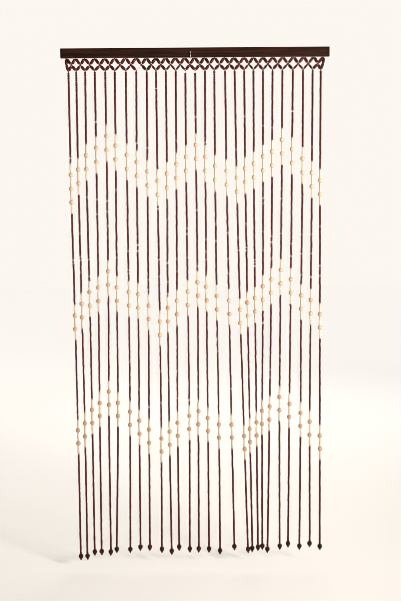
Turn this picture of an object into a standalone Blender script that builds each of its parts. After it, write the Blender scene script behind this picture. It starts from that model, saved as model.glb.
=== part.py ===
"""A wooden bead curtain on its header rail.

Twenty-seven strings of small turned beads hang from a dark wooden slat. Under the slat short wooden
tubes cross in a row of diamonds, and each string starts where two tubes meet. Three zigzag bands of
pale beads, with two larger round beads in each, run across the strings. A round bead and a stopper
weight every end, and one steel hook holds the slat up in the middle.

Metres, +Z up. The origin is the middle of the slat's flat back face. The curtain spreads along X and
its front looks towards -Y.
"""

import math
from collections import namedtuple

import bmesh
import bpy
from mathutils import Vector

MM = 0.001
CLEARANCE = 0.3 * MM

# The slat
RAIL_LENGTH = 0.907
RAIL_DEPTH = 14 * MM
RAIL_HEIGHT = 31.5 * MM
RAIL_EDGE = 1.2 * MM
RAIL_EDGE_STEPS = 2

# The row of threading holes, and the plane in which the strings hang
HOLE_PITCH = 33.3 * MM
FIRST_HOLE = 21 * MM
STRING_PLANE = -9 * MM

# The tubes, measured down from the slat's underside
TUBE_RADIUS = 4.7 * MM
THIN_TUBE_RADIUS = 2.8 * MM
JOINT_RADIUS = 3.4 * MM
CROSSING_DROP = 24 * MM
FORK_DROP = 43 * MM
END_FORK_DROP = 45 * MM
PEAK_HALF_WIDTH = 5.2 * MM
PEAK_KNOT = 7 * MM
TUBE_SHOULDER = 0.25
LEG_BOW = 3 * MM

# The beads
STRING_RADIUS = 3.1 * MM
BEAD_PITCH = 8 * MM
PALE_PITCH = 7.67 * MM
PALE_RUN = 4
ROUND_LENGTH = 16 * MM
ROUND_RADIUS = 7.8 * MM
ROUND_SHOULDER = 4.6 * MM
BEADS_BELOW_FORK = 3 * MM
ROUNDS_IN_BAND = 2
EXTRA_ROUND_STRING = 0

# The end bead and its stopper: distance below the last small bead, and radius there
END_PROFILE = (
    (3.0 * MM, 7.2 * MM),
    (8.0 * MM, 8.8 * MM),
    (12.5 * MM, 7.4 * MM),
    (16.6 * MM, 3.2 * MM),
    (19.5 * MM, 3.5 * MM),
    (24.5 * MM, 0.9 * MM),
)

# The hook
HOOK_X = -14.8 * MM
HOOK_RADIUS = 1.4 * MM
HOOK_BEND = 2.2 * MM
HOOK_BEND_STEPS = 4
HOOK_SIDES = 8
HOOK_RISE = 17 * MM
HOOK_BALL_RADIUS = 3.2 * MM
HOOK_BALL_STEPS = 4

# How far below the origin each sway of a string is given
SWAY_LEVELS = (0.43, 0.84, 1.26, 1.76)

# The stringing chart, a row for each string from left to right. hole is how far its hole lies from the
# even place for it, and pull is how far its fork hangs to the side of the hole. arms says whether the
# tubes to the left and right of the fork are wide or thin. The next four are counts of dark beads:
# above the first band, between the bands, and below the last. The sways are sideways distances from
# the fork at the four levels, and forward is the end's distance from the string plane towards the
# viewer. Distances are in millimetres.
String = namedtuple("String", "hole pull arms first second third last sway_1 sway_2 sway_3 sway_4 forward")
CHART = tuple(
    String(*row)
    for row in (
        (-2, 7, "ww", 38, 39, 35, 45, 1, 5, 8, 9, 1),
        (-4, 2, "ww", 36, 42, 37, 48, 0, 3, 6, 6, 0),
        (-6, 1, "ww", 30, 43, 36, 52, -2, 1, 2, 2, 2),
        (-6, 0, "ww", 27, 44, 35, 55, 0, -1, -4, -6, 0),
        (-5, 1, "ww", 22, 42, 37, 60, 0, -2, -7, -8, 3),
        (-5, 0, "wn", 26, 45, 35, 54, -2, -5, -8, -21, 0),
        (-2, 1, "wn", 30, 43, 37, 50, -1, -1, -3, -9, 1),
        (1, 0, "wn", 33, 41, 40, 45, -3, -4, -6, -8, 0),
        (2, 1, "ww", 37, 42, 39, 41, -2, -4, -7, -10, 2),
        (1, 0, "nw", 41, 45, 36, 38, 1, 3, 4, 1, 1),
        (0, 1, "wn", 38, 42, 39, 42, 0, -2, -1, 3, 0),
        (0, 1, "nn", 34, 43, 38, 44, -1, -3, -5, -4, 2),
        (-2, 2, "nw", 31, 42, 39, 48, 0, 2, 4, 1, 0),
        (-2, 2, "ww", 26, 43, 41, 50, 1, 3, 2, 0, 1),
        (-1, 1, "ww", 31, 40, 42, 47, -1, 0, 2, 3, 2),
        (-2, 0, "nw", 35, 40, 41, 45, 1, 4, 9, 11, 0),
        (0, 1, "ww", 37, 40, 39, 43, 4, 10, 17, 26, 3),
        (-3, 3, "ww", 40, 41, 40, 39, 6, 15, 27, 42, 9),
        (-1, 0, "wn", 36, 42, 40, 42, 3, 9, 16, 25, 0),
        (-3, 0, "nn", 34, 42, 39, 44, 1, 4, 8, 13, 10),
        (-4, 0, "wn", 31, 40, 39, 49, 0, -1, -4, -4, 0),
        (-4, -1, "nw", 29, 39, 40, 52, -2, -5, -11, -19, 9),
        (-4, -1, "wn", 24, 40, 40, 55, -2, -6, -9, -8, 1),
        (-1, -2, "wn", 28, 40, 39, 51, -3, -6, -10, -14, 0),
        (0, -2, "nn", 32, 43, 36, 48, -1, -4, -5, -8, 2),
        (1, -4, "nw", 38, 39, 38, 43, -1, -3, -5, -3, 0),
        (1, -10, "ww", 41, 42, 38, 38, 0, 1, 3, 5, 1),
    )
)
LAST = len(CHART) - 1

UNDERSIDE = -RAIL_HEIGHT / 2
PEAK_TOP = UNDERSIDE - CLEARANCE

# A place in the strings' plane where tubes meet
Joint = namedtuple("Joint", "x z")


def clear_scene():
    """Empties the file that the script is run in."""
    for item in list(bpy.data.objects):
        bpy.data.objects.remove(item, do_unlink=True)


def make_material(name, colour, roughness, metallic=0.0):
    """Returns a Principled material of one colour."""
    material = bpy.data.materials.new(name)
    material.use_nodes = True
    shader = material.node_tree.nodes["Principled BSDF"]
    shader.inputs["Base Color"].default_value = (*colour, 1.0)
    shader.inputs["Roughness"].default_value = roughness
    shader.inputs["Metallic"].default_value = metallic
    return material


def add_object(name, mesh, material):
    """Turns a bmesh into an object of the scene."""
    bmesh.ops.recalc_face_normals(mesh, faces=mesh.faces)
    data = bpy.data.meshes.new(name)
    mesh.to_mesh(data)
    mesh.free()
    data.materials.append(material)
    item = bpy.data.objects.new(name, data)
    bpy.context.scene.collection.objects.link(item)
    return item


def build_rail():
    """The slat, with its edges eased."""
    mesh = bmesh.new()
    bmesh.ops.create_cube(mesh, size=1.0)
    bmesh.ops.scale(mesh, vec=(RAIL_LENGTH, RAIL_DEPTH, RAIL_HEIGHT), verts=mesh.verts)
    bmesh.ops.translate(mesh, vec=(0, -RAIL_DEPTH / 2, 0), verts=mesh.verts)
    rail = add_object("rail", mesh, make_material("stained_wood", (0.035, 0.014, 0.009), 0.42))
    edges = rail.modifiers.new("eased_edges", "BEVEL")
    edges.width = RAIL_EDGE
    edges.segments = RAIL_EDGE_STEPS
    return rail


def hole_x(index):
    """Where the threading hole of a string is along the slat."""
    return -RAIL_LENGTH / 2 + FIRST_HOLE + index * HOLE_PITCH + CHART[index].hole * MM


def fork_x(index):
    """Where a string's fork hangs, pulled a little to the side of its hole."""
    return hole_x(index) + CHART[index].pull * MM


def fork_joint(index):
    """The joint where the tubes meet over a string. Two long legs let the end ones hang lower."""
    drop = END_FORK_DROP if index in (0, LAST) else FORK_DROP
    return Joint(fork_x(index), UNDERSIDE - drop)


def crossing_joint(index):
    """The joint where tubes cross between a string and the next one."""
    spread = (hole_x(index), hole_x(index + 1), fork_x(index), fork_x(index + 1))
    return Joint(sum(spread) / len(spread), UNDERSIDE - CROSSING_DROP)


def sway(row, drop):
    """How far a string has swung sideways at a distance below the origin, on a smooth curve."""
    levels = (-UNDERSIDE + FORK_DROP, *SWAY_LEVELS)
    values = (0, row.sway_1, row.sway_2, row.sway_3, row.sway_4)
    last = len(levels) - 2
    part = 0
    while part < last and drop > levels[part + 1]:
        part += 1
    span = levels[part + 1] - levels[part]

    def slope(index):
        low = max(index - 1, 0)
        high = min(index + 1, last + 1)
        return (values[high] - values[low]) / (levels[high] - levels[low])

    t = (drop - levels[part]) / span
    start = values[part] * (2 * t**3 - 3 * t**2 + 1) + slope(part) * span * (t**3 - 2 * t**2 + t)
    end = values[part + 1] * (3 * t**2 - 2 * t**3) + slope(part + 1) * span * (t**3 - t**2)
    return (start + end) * MM


def string_point(index, drop):
    """The middle of a string at a distance below the origin."""
    row = CHART[index]
    reach = drop / SWAY_LEVELS[-1]
    return Vector((fork_x(index) + sway(row, drop), STRING_PLANE - row.forward * MM * reach**2, -drop))


def string_profile(index):
    """Distances below the origin and radii there, from a string's first bead to its tip."""
    row = CHART[index]
    drop = -fork_joint(index).z + BEADS_BELOW_FORK
    profile = [(drop, STRING_RADIUS)]
    for band, count in enumerate((row.first, row.second, row.third)):
        run = count * BEAD_PITCH
        profile.append((drop + run / 2, STRING_RADIUS))
        drop += run + PALE_RUN * PALE_PITCH
        rounds = ROUNDS_IN_BAND
        if band == 0 and index == EXTRA_ROUND_STRING:
            rounds += 1
        for _ in range(rounds):
            profile.append((drop, STRING_RADIUS))
            profile.append((drop + ROUND_SHOULDER, ROUND_RADIUS))
            profile.append((drop + ROUND_LENGTH - ROUND_SHOULDER, ROUND_RADIUS))
            profile.append((drop + ROUND_LENGTH, STRING_RADIUS))
            drop += ROUND_LENGTH + PALE_RUN * PALE_PITCH
    run = row.last * BEAD_PITCH
    profile.append((drop + run / 2, STRING_RADIUS))
    drop += run
    profile.append((drop, STRING_RADIUS))
    profile.extend((drop + below, radius) for below, radius in END_PROFILE)
    return profile


def plane_vert(mesh, x, z, y=STRING_PLANE):
    """A vertex in the curtain's plane, or before or behind it."""
    return mesh.verts.new((x, y, z))


def bridge(mesh, ring_a, ring_b):
    """Joins two rings of four corners by four faces."""
    sides = len(ring_a)
    for side in range(sides):
        after = (side + 1) % sides
        mesh.faces.new((ring_a[side], ring_a[after], ring_b[after], ring_b[side]))


def square_ring(mesh, centre, across, radius):
    """Four corners round a point: on one side, in front, on the other side and behind."""
    front = Vector((0, -radius, 0))
    return [
        mesh.verts.new(centre + across * radius),
        mesh.verts.new(centre + front),
        mesh.verts.new(centre - across * radius),
        mesh.verts.new(centre - front),
    ]


class JointMesh:
    """The corners of one joint, shared by the tubes that meet there."""

    def __init__(self, mesh, joint, ways, front_z=None):
        """ways maps each far joint's name to the point that a tube runs to."""
        self.joint = joint
        self.angles = {name: math.atan2(far.z - joint.z, far.x - joint.x) for name, far in ways.items()}
        self.order = sorted(self.angles, key=self.angles.get)
        level = joint.z if front_z is None else front_z
        self.front = plane_vert(mesh, joint.x, level, STRING_PLANE - JOINT_RADIUS)
        self.back = plane_vert(mesh, joint.x, level, STRING_PLANE + JOINT_RADIUS)
        self.after = {}
        self.before = {}
        self.clear = dict.fromkeys(self.order, 0.0)

    def turn(self, name):
        """The next way round, against the clock, and the angle to it."""
        place = self.order.index(name)
        following = self.order[(place + 1) % len(self.order)]
        angle = (self.angles[following] - self.angles[name]) % math.tau
        return following, angle

    def mitre(self, mesh, name, least=0.0):
        """Adds the corner between a way and the next one round, and notes how far both tubes lie close."""
        following, angle = self.turn(name)
        middle = self.angles[name] + angle / 2
        reach = max(JOINT_RADIUS / math.sin(angle / 2), least)
        x = self.joint.x + reach * math.cos(middle)
        corner = plane_vert(mesh, x, self.joint.z + reach * math.sin(middle))
        self.after[name] = corner
        self.before[following] = corner
        along = reach * math.cos(angle / 2) * (TUBE_RADIUS + CLEARANCE) / JOINT_RADIUS
        for way in (name, following):
            self.clear[way] = max(self.clear[way], along)

    def ring(self, name, leaving):
        """The four corners where a tube meets this joint, as seen by a tube that leaves or arrives."""
        left, right = self.after[name], self.before[name]
        if not leaving:
            left, right = right, left
        return [left, self.front, right, self.back]


def knee_joint(index):
    """The joint half way down an end leg, which bows a little outwards."""
    fork = fork_joint(index)
    outwards = math.copysign(LEG_BOW, fork.x)
    return Joint((hole_x(index) + fork.x) / 2 + outwards, (PEAK_TOP + fork.z) / 2)


def joint_at_peak(mesh, index, ways):
    """A joint under the slat: flat on top, with a knot inside the angle of its two tubes."""
    peak = Joint(hole_x(index), PEAK_TOP)
    corners = JointMesh(mesh, peak, ways, front_z=PEAK_TOP)
    left = plane_vert(mesh, peak.x - PEAK_HALF_WIDTH, PEAK_TOP)
    right = plane_vert(mesh, peak.x + PEAK_HALF_WIDTH, PEAK_TOP)
    mesh.faces.new((left, corners.front, right, corners.back))
    first, second = corners.order
    corners.mitre(mesh, first, PEAK_KNOT)
    corners.before[first] = left
    corners.after[second] = right
    return corners


def joint_in_row(mesh, joint, ways):
    """A joint with a mitred corner between each two tubes."""
    corners = JointMesh(mesh, joint, ways)
    for name in corners.order:
        corners.mitre(mesh, name)
    return corners


def join_tube(mesh, start, start_name, end, end_name, radius):
    """A wooden tube between two joints, at its full width only where it is clear of its neighbours."""
    a = Vector((start.joint.x, STRING_PLANE, start.joint.z))
    b = Vector((end.joint.x, STRING_PLANE, end.joint.z))
    length = (b - a).length
    way = (b - a).normalized()
    across = Vector((-way.z, 0, way.x))
    shoulder = TUBE_SHOULDER * length
    first = max(shoulder, start.clear[start_name])
    last = length - max(shoulder, end.clear[end_name])
    rings = [start.ring(start_name, True)]
    for along in (first, last):
        rings.append(square_ring(mesh, a + way * along, across, radius))
    rings.append(end.ring(end_name, False))
    for ring_a, ring_b in zip(rings, rings[1:]):
        bridge(mesh, ring_a, ring_b)


def tube_radius(letter):
    """Wide or thin, as the chart says."""
    return TUBE_RADIUS if letter == "w" else THIN_TUBE_RADIUS


def build_header(mesh):
    """The diamonds of tubes. Returns the joints over the strings."""
    indices = range(len(CHART))
    peaks = {index: Joint(hole_x(index), PEAK_TOP) for index in indices}
    forks = {index: fork_joint(index) for index in indices}
    crossings = {index: crossing_joint(index) for index in range(LAST)}
    knees = {index: knee_joint(index) for index in (0, LAST)}
    peak_corners, fork_corners, crossing_corners = {}, {}, {}
    for index in indices:
        up_ways, down_ways = {}, {}
        if index > 0:
            up_ways["left"] = crossings[index - 1]
            down_ways["left"] = crossings[index - 1]
        if index < LAST:
            up_ways["right"] = crossings[index]
            down_ways["right"] = crossings[index]
        if index in knees:
            up_ways["leg"] = knees[index]
            down_ways["leg"] = knees[index]
        up_ways["string"] = Joint(forks[index].x, forks[index].z - BEAD_PITCH)
        peak_corners[index] = joint_at_peak(mesh, index, down_ways)
        fork_corners[index] = joint_in_row(mesh, forks[index], up_ways)
    for index in range(LAST):
        ways = {
            "peak_left": peaks[index],
            "peak_right": peaks[index + 1],
            "fork_left": forks[index],
            "fork_right": forks[index + 1],
        }
        crossing_corners[index] = joint_in_row(mesh, crossings[index], ways)
    for index in range(LAST):
        crossing = crossing_corners[index]
        left_radius = tube_radius(CHART[index].arms[1])
        right_radius = tube_radius(CHART[index + 1].arms[0])
        join_tube(mesh, peak_corners[index], "right", crossing, "peak_left", TUBE_RADIUS)
        join_tube(mesh, peak_corners[index + 1], "left", crossing, "peak_right", TUBE_RADIUS)
        join_tube(mesh, fork_corners[index], "right", crossing, "fork_left", left_radius)
        join_tube(mesh, fork_corners[index + 1], "left", crossing, "fork_right", right_radius)
    for index, knee in knees.items():
        knee_corners = joint_in_row(mesh, knee, {"peak": peaks[index], "fork": forks[index]})
        join_tube(mesh, peak_corners[index], "leg", knee_corners, "peak", TUBE_RADIUS)
        join_tube(mesh, fork_corners[index], "leg", knee_corners, "fork", TUBE_RADIUS)
    return fork_corners


def build_string(mesh, index, fork):
    """One string of beads, from its fork down to the tip of its stopper."""
    across = Vector((1, 0, 0))
    last_ring = fork.ring("string", True)
    for drop, radius in string_profile(index):
        ring = square_ring(mesh, string_point(index, drop), across, radius)
        bridge(mesh, last_ring, ring)
        last_ring = ring
    mesh.faces.new(last_ring)


def build_bead_strings():
    """The tube header with all the strings that hang from it, in one solid."""
    mesh = bmesh.new()
    forks = build_header(mesh)
    for index, fork in forks.items():
        build_string(mesh, index, fork)
    return add_object("bead_strings", mesh, make_material("dark_beads", (0.10, 0.012, 0.010), 0.30))


def hook_path():
    """Points and radii along the hook, from the back, under the slat and up its front to the ball."""
    low = UNDERSIDE - CLEARANCE - HOOK_RADIUS
    out = -RAIL_DEPTH - CLEARANCE - HOOK_RADIUS
    path = [((0.0, low), HOOK_RADIUS)]
    for step in range(HOOK_BEND_STEPS + 1):
        turn = math.pi / 2 * step / HOOK_BEND_STEPS
        y = out + HOOK_BEND * (1 - math.sin(turn))
        z = low + HOOK_BEND * (1 - math.cos(turn))
        path.append(((y, z), HOOK_RADIUS))
    ball = low + HOOK_RISE
    neck = math.asin(HOOK_RADIUS / HOOK_BALL_RADIUS)
    for step in range(HOOK_BALL_STEPS + 1):
        turn = neck + (math.pi - 2 * neck) * step / HOOK_BALL_STEPS
        z = ball - HOOK_BALL_RADIUS * math.cos(turn)
        path.append(((out - HOOK_BALL_RADIUS + HOOK_RADIUS, z), HOOK_BALL_RADIUS * math.sin(turn)))
    return path


def build_rail_hook():
    """The steel hook that passes under the slat between two strings."""
    mesh = bmesh.new()
    path = hook_path()
    centres = [Vector((HOOK_X, y, z)) for (y, z), _ in path]
    rings = []
    for place, centre in enumerate(centres):
        ahead = centres[min(place + 1, len(centres) - 1)]
        behind = centres[max(place - 1, 0)]
        way = Vector((0, 0, 1)) if place > HOOK_BEND_STEPS else (ahead - behind).normalized()
        if place == 0:
            way = Vector((0, -1, 0))
        side = Vector((1, 0, 0))
        other = way.cross(side)
        ring = []
        for step in range(HOOK_SIDES):
            turn = math.tau * step / HOOK_SIDES
            outwards = side * math.cos(turn) + other * math.sin(turn)
            ring.append(mesh.verts.new(centre + outwards * path[place][1]))
        rings.append(ring)
    for ring_a, ring_b in zip(rings, rings[1:]):
        bridge(mesh, ring_a, ring_b)
    mesh.faces.new(rings[0])
    mesh.faces.new(rings[-1])
    return add_object("rail_hook", mesh, make_material("bright_steel", (0.62, 0.60, 0.56), 0.28, 1.0))


def main():
    """Builds the curtain."""
    clear_scene()
    build_rail()
    build_bead_strings()
    build_rail_hook()


main()
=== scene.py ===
"""The looks of a wooden bead curtain on its header rail.

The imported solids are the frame, and every piece here hangs where they hang. The plan repeats the
maker's stringing chart, and each class makes one kind of piece from it: the slat, the tubes that cross
under it, the small beads, the round beads, the end beads with their stoppers, the cord and the hook.

Metres, +Z up. The origin is the middle of the slat's back face, and the front looks towards -Y.
"""

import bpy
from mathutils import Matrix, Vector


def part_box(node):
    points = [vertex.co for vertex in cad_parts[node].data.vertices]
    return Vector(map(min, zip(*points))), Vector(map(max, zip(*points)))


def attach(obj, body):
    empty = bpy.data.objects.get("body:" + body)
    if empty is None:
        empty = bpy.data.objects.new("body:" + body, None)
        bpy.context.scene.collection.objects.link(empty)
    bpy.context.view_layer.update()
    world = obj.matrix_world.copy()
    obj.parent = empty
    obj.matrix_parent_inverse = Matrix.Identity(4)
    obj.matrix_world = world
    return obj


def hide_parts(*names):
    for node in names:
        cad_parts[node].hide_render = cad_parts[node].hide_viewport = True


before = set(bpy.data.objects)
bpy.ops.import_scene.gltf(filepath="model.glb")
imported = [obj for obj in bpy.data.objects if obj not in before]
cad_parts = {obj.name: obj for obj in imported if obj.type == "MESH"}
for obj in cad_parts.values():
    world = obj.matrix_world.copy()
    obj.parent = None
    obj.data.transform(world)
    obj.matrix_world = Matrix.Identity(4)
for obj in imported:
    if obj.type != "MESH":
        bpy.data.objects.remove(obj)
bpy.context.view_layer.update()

import logging
import math
import random
from collections.abc import Iterable, Mapping, Sequence
from dataclasses import dataclass, field
from enum import Enum

import bmesh
import bpy
from mathutils import Matrix, Vector
from mathutils.noise import noise

MM = 0.001
BODY = "root"
SEED = 27
LOG = logging.getLogger("bead_curtain")

Triple = tuple[float, float, float]
Colour = Triple
Profile = Sequence[tuple[float, float]]


class Arm(Enum):
    """What the cord carries on its way from a crossing down to a fork."""

    WIDE = "w"
    NARROW = "n"
    BARE = "b"


class Bead(Enum):
    """The kinds of bead on a string."""

    DARK = "dark"
    PALE = "pale"
    ROUND = "round"


@dataclass(frozen=True)
class Row:
    """One string's line of the stringing chart. Distances are in millimetres.

    hole is how far its hole lies from the even place for it, pull is how far its fork hangs to the side
    of the hole, and arms says what the cord carries to the left and right of the fork. runs counts the
    dark beads above, between and below the three bands. sway holds the sideways distances from the fork
    at the plan's four levels, and forward is how far the end hangs in front of the others.
    """

    hole: float
    pull: float
    arms: str
    runs: tuple[int, int, int, int]
    sway: tuple[float, float, float, float]
    forward: float


CHART = (
    Row(-2, 7, "ww", (38, 39, 35, 45), (1, 5, 8, 9), 1),
    Row(-4, 2, "ww", (36, 42, 37, 48), (0, 3, 6, 6), 0),
    Row(-6, 1, "ww", (30, 43, 36, 52), (-2, 1, 2, 2), 2),
    Row(-6, 0, "ww", (27, 44, 35, 55), (0, -1, -4, -6), 0),
    Row(-5, 1, "ww", (22, 42, 37, 60), (0, -2, -7, -8), 3),
    Row(-5, 0, "wn", (26, 45, 35, 54), (-2, -5, -8, -21), 0),
    Row(-2, 1, "wn", (30, 43, 37, 50), (-1, -1, -3, -9), 1),
    Row(1, 0, "wb", (33, 41, 40, 45), (-3, -4, -6, -8), 0),
    Row(2, 1, "ww", (37, 42, 39, 41), (-2, -4, -7, -10), 2),
    Row(1, 0, "nw", (41, 45, 36, 38), (1, 3, 4, 1), 1),
    Row(0, 1, "wn", (38, 42, 39, 42), (0, -2, -1, 3), 0),
    Row(0, 1, "nn", (34, 43, 38, 44), (-1, -3, -5, -4), 2),
    Row(-2, 2, "nw", (31, 42, 39, 48), (0, 2, 4, 1), 0),
    Row(-2, 2, "ww", (26, 43, 41, 50), (1, 3, 2, 0), 1),
    Row(-1, 1, "ww", (31, 40, 42, 47), (-1, 0, 2, 3), 2),
    Row(-2, 0, "nw", (35, 40, 41, 45), (1, 4, 9, 11), 0),
    Row(0, 1, "ww", (37, 40, 39, 43), (4, 10, 17, 26), 3),
    Row(-3, 3, "ww", (40, 41, 40, 39), (6, 15, 27, 42), 9),
    Row(-1, 0, "wn", (36, 42, 40, 42), (3, 9, 16, 25), 0),
    Row(-3, 0, "nn", (34, 42, 39, 44), (1, 4, 8, 13), 10),
    Row(-4, 0, "wn", (31, 40, 39, 49), (0, -1, -4, -4), 0),
    Row(-4, -1, "nw", (29, 39, 40, 52), (-2, -5, -11, -19), 9),
    Row(-4, -1, "wn", (24, 40, 40, 55), (-2, -6, -9, -8), 1),
    Row(-1, -2, "wn", (28, 40, 39, 51), (-3, -6, -10, -14), 0),
    Row(0, -2, "nn", (32, 43, 36, 48), (-1, -4, -5, -8), 2),
    Row(1, -4, "nw", (38, 39, 38, 43), (-1, -3, -5, -3), 0),
    Row(1, -10, "ww", (41, 42, 38, 38), (0, 1, 3, 5), 1),
)
LAST = len(CHART) - 1


@dataclass(frozen=True)
class Strung:
    """One bead on a string: its kind, its run counted from the top, its middle's drop and its length."""

    bead: Bead
    run: int
    drop: float
    length: float


@dataclass(frozen=True)
class Place:
    """Where a form goes: its middle, the way its axis points, its scale and a shade from 0 to 1, which the
    round beads turn into their amber and painted shade.
    """

    centre: Vector
    way: Vector
    girth: Vector
    shade: float = 0.5


@dataclass(frozen=True)
class Stroke:
    """A path to sweep: its points with the radius at each, and whether it closes on itself."""

    points: Sequence[tuple[Vector, float]]
    closed: bool = False


@dataclass(frozen=True)
class Tie:
    """A stretch of cord in the header, what it carries, and how much of it stays bare at each end."""

    start: Vector
    end: Vector
    arm: Arm
    clear_above: float
    clear_below: float


@dataclass(frozen=True)
class Plan:
    """The places that all pieces share, worked out from the slat's box and the stringing chart."""

    underside: float
    left_end: float
    hole_pitch: float = 33.3 * MM
    first_hole: float = 21 * MM
    plane: float = -9 * MM
    crossing_drop: float = 24 * MM
    fork_drop: float = 43 * MM
    end_fork_drop: float = 45 * MM
    leg_bow: float = 3 * MM
    beads_below_fork: float = 3 * MM
    small_length: float = 8 * MM
    pale_length: float = 7.67 * MM
    round_length: float = 16 * MM
    pale_run: int = 4
    rounds_in_band: int = 2
    extra_round_string: int = 0
    levels: tuple[float, ...] = (0.43, 0.84, 1.26, 1.76)
    kink: float = 1.2 * MM
    kink_least: float = 0.4
    kink_length: float = 11 * MM
    kink_rise: float = 100 * MM
    kink_stride: float = 5.3
    kink_layers: tuple[float, float] = (0.5, 9.5)
    break_length: float = 4.2 * MM
    break_spread: tuple[float, float] = (0.6, 1.1)
    break_bias: float = 0.45
    breaks: tuple[tuple[int, int], ...] = ((0, 1), (2, 4), (0, 2), (0, 0))
    slipped: tuple[int, ...] = (12, 13)
    slip: float = 6 * MM

    def length(self, bead: Bead) -> float:
        """Returns how much of a string one bead takes up."""
        return {Bead.PALE: self.pale_length, Bead.ROUND: self.round_length}.get(bead, self.small_length)

    def peak(self, index: int) -> Vector:
        """Returns the place under a string's hole where its cord leaves the slat."""
        x = self.left_end + self.first_hole + index * self.hole_pitch + CHART[index].hole * MM
        return Vector((x, self.plane, self.underside))

    def fork(self, index: int) -> Vector:
        """Returns the place where the cords from both sides join into a string."""
        drop = self.end_fork_drop if index in (0, LAST) else self.fork_drop
        return self.peak(index) + Vector((CHART[index].pull * MM, 0, -drop))

    def crossing(self, index: int) -> Vector:
        """Finds the place where tubes cross between a string and the next one.

        Args:
            index: The place of the left one of them, from 0.

        Returns:
            The point, in metres.
        """
        spread = (self.peak(index), self.peak(index + 1), self.fork(index), self.fork(index + 1))
        middle = sum((corner.x for corner in spread)) / len(spread)
        return Vector((middle, self.plane, self.underside - self.crossing_drop))

    def knee(self, index: int) -> Vector:
        """Returns the place half way down an end leg, which bows a little outwards."""
        middle = (self.peak(index) + self.fork(index)) / 2
        return middle + Vector((math.copysign(self.leg_bow, middle.x), 0, 0))

    def sway(self, row: Row, drop: float) -> float:
        """Finds how far a string has swung sideways, on a smooth curve through the chart's values.

        Args:
            row: The string's line of the chart.
            drop: The distance below the origin.

        Returns:
            The sideways distance in metres.
        """
        levels = (-self.underside + self.fork_drop, *self.levels)
        values = (0, *row.sway)
        last = len(levels) - 2
        part = 0
        while part < last and drop > levels[part + 1]:
            part += 1
        span = levels[part + 1] - levels[part]

        def slope(index: int) -> float:
            """Returns the curve's steepness at a level."""
            low, high = max(index - 1, 0), min(index + 1, last + 1)
            return (values[high] - values[low]) / (levels[high] - levels[low])

        t = (drop - levels[part]) / span
        start = values[part] * (2 * t**3 - 3 * t**2 + 1) + slope(part) * span * (t**3 - 2 * t**2 + t)
        end = values[part + 1] * (3 * t**2 - 2 * t**3) + slope(part + 1) * span * (t**3 - t**2)
        return (start + end) * MM

    def middle(self, index: int, drop: float) -> Vector:
        """Finds the middle of a string, with the small kinks of beads that don't sit quite straight.

        Args:
            index: The string's place from the left, from 0.
            drop: The distance below the origin.

        Returns:
            The point, in metres.
        """
        row = CHART[index]
        reach = drop / self.levels[-1]
        below_fork = min((drop - self.fork_drop) / self.kink_rise, 1.0)
        swell = self.kink_least + (1.0 - self.kink_least) * math.sin(math.pi * min(reach, 1.0))
        sideways, forwards = (
            self.kink * swell * below_fork
            * noise(Vector((drop / self.kink_length, index * self.kink_stride, layer)))
            for layer in self.kink_layers
        )
        x = self.fork(index).x + self.sway(row, drop) + sideways
        y = self.plane - row.forward * MM * reach**2 - abs(forwards)
        return Vector((x, y, -drop))

    def way(self, index: int, drop: float) -> Vector:
        """Returns the direction up a string at a distance below the origin."""
        reach = self.small_length / 2
        return (self.middle(index, drop - reach) - self.middle(index, drop + reach)).normalized()

    def spans(self, index: int) -> list[tuple[Bead, int, int]]:
        """Lists a string's runs of like beads from the top.

        Args:
            index: The string's place from the left, from 0.

        Returns:
            The kind of each run, which band or dark run it is from the top, and its count.
        """
        spans = []
        *banded, last = CHART[index].runs
        for band, count in enumerate(banded):
            extra = int(band == 0 and index == self.extra_round_string)
            spans += [(Bead.DARK, band, count), (Bead.PALE, band, self.pale_run)]
            group = [(Bead.ROUND, band, 1), (Bead.PALE, band, self.pale_run)]
            spans += group * (self.rounds_in_band + extra)
        return [*spans, (Bead.DARK, len(banded), last)]

    def strung(self, index: int) -> list[Strung]:
        """Lists a string's beads from the top down, the end bead left out.

        A few dark runs have a short stretch of bare cord, and their beads sit closer for it.

        Args:
            index: The string's place from the left, from 0.

        Returns:
            The beads, each with its drop and its length.
        """
        dice = random.Random(SEED + index)
        drop = self.first_drop(index)
        beads = []
        for bead, run, count in self.spans(index):
            bare = dict.fromkeys(range(count), 0.0)
            if bead is Bead.DARK:
                for _ in range(dice.randint(*self.breaks[run])):
                    length = self.break_length * dice.uniform(*self.break_spread)
                    bare[round((count - 1) * dice.random() ** self.break_bias)] = length
                if run == 0 and index in self.slipped:
                    bare[0] = self.slip
            room = self.length(bead) - sum(bare.values()) / count
            for place in range(count):
                drop += bare[place]
                beads.append(Strung(bead, run, drop + room / 2, room))
                drop += room
        return beads

    def first_drop(self, index: int) -> float:
        """Returns the drop of a string's first bead."""
        return -self.fork(index).z + self.beads_below_fork

    def last_drop(self, index: int) -> float:
        """Returns the drop below the last small bead, where the end bead begins."""
        lengths = (self.length(bead) * count for bead, _, count in self.spans(index))
        return self.first_drop(index) + sum(lengths)

    def places(
        self, kind: Bead, strings: Iterable[int], girths: Sequence[float] = (1.0, 1.0, 1.0)
    ) -> list[Place]:
        """Lists where the beads of one kind go, from the left and from the top down.

        Args:
            kind: The kind of bead.
            strings: The strings to look at.
            girths: How wide the beads of each run are, as a share of their form's width.

        Returns:
            The places. Their shade runs from 0 in the top band to 1 in the lowest, and darkens round beads
            with amber and painted shade.
        """
        form_length = self.round_length if kind is Bead.ROUND else self.small_length
        places = []
        for index in strings:
            for bead in self.strung(index):
                if bead.bead is kind:
                    wide = girths[bead.run]
                    girth = Vector((wide, wide, bead.length / form_length))
                    centre, way = self.middle(index, bead.drop), self.way(index, bead.drop)
                    places.append(Place(centre, way, girth, min(bead.run / 2, 1.0)))
        return places


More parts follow.
